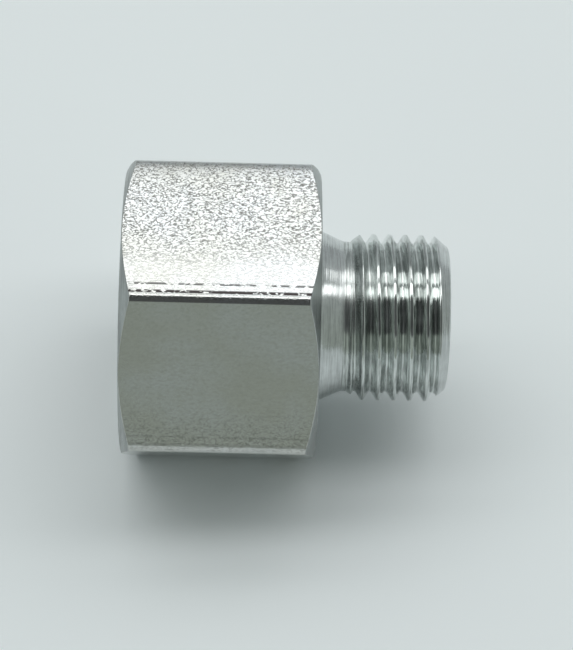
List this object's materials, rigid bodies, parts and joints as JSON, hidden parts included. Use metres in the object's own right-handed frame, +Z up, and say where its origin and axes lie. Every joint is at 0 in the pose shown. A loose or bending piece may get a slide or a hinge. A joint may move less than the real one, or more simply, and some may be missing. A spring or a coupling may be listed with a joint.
{
  "type": "hex pipe adapter",
  "caption": "Straight pipe adapter turned from hexagonal bar, with a parallel female port and its flat washer inside the hexagon, a parallel threaded stud and a through bore.",
  "frame": {"origin": "centre of the bounding box's bottom, on the hexagon flat that the fitting rests on", "axes": "+X along the fitting's axis towards the end of the male stud, +Z up, square to the flat it rests on"},
  "size_m": [0.0306, 0.0308, 0.027],
  "materials": {
    "zinc_plated_steel": "clear zinc plate over drawn hexagon flats and turned threads",
    "annealed_copper": "satin annealed copper"
  },
  "bodies": {
    "root": {"fitting_body": "zinc_plated_steel", "sealing_washer": "annealed_copper"}
  },
  "joints": []
}
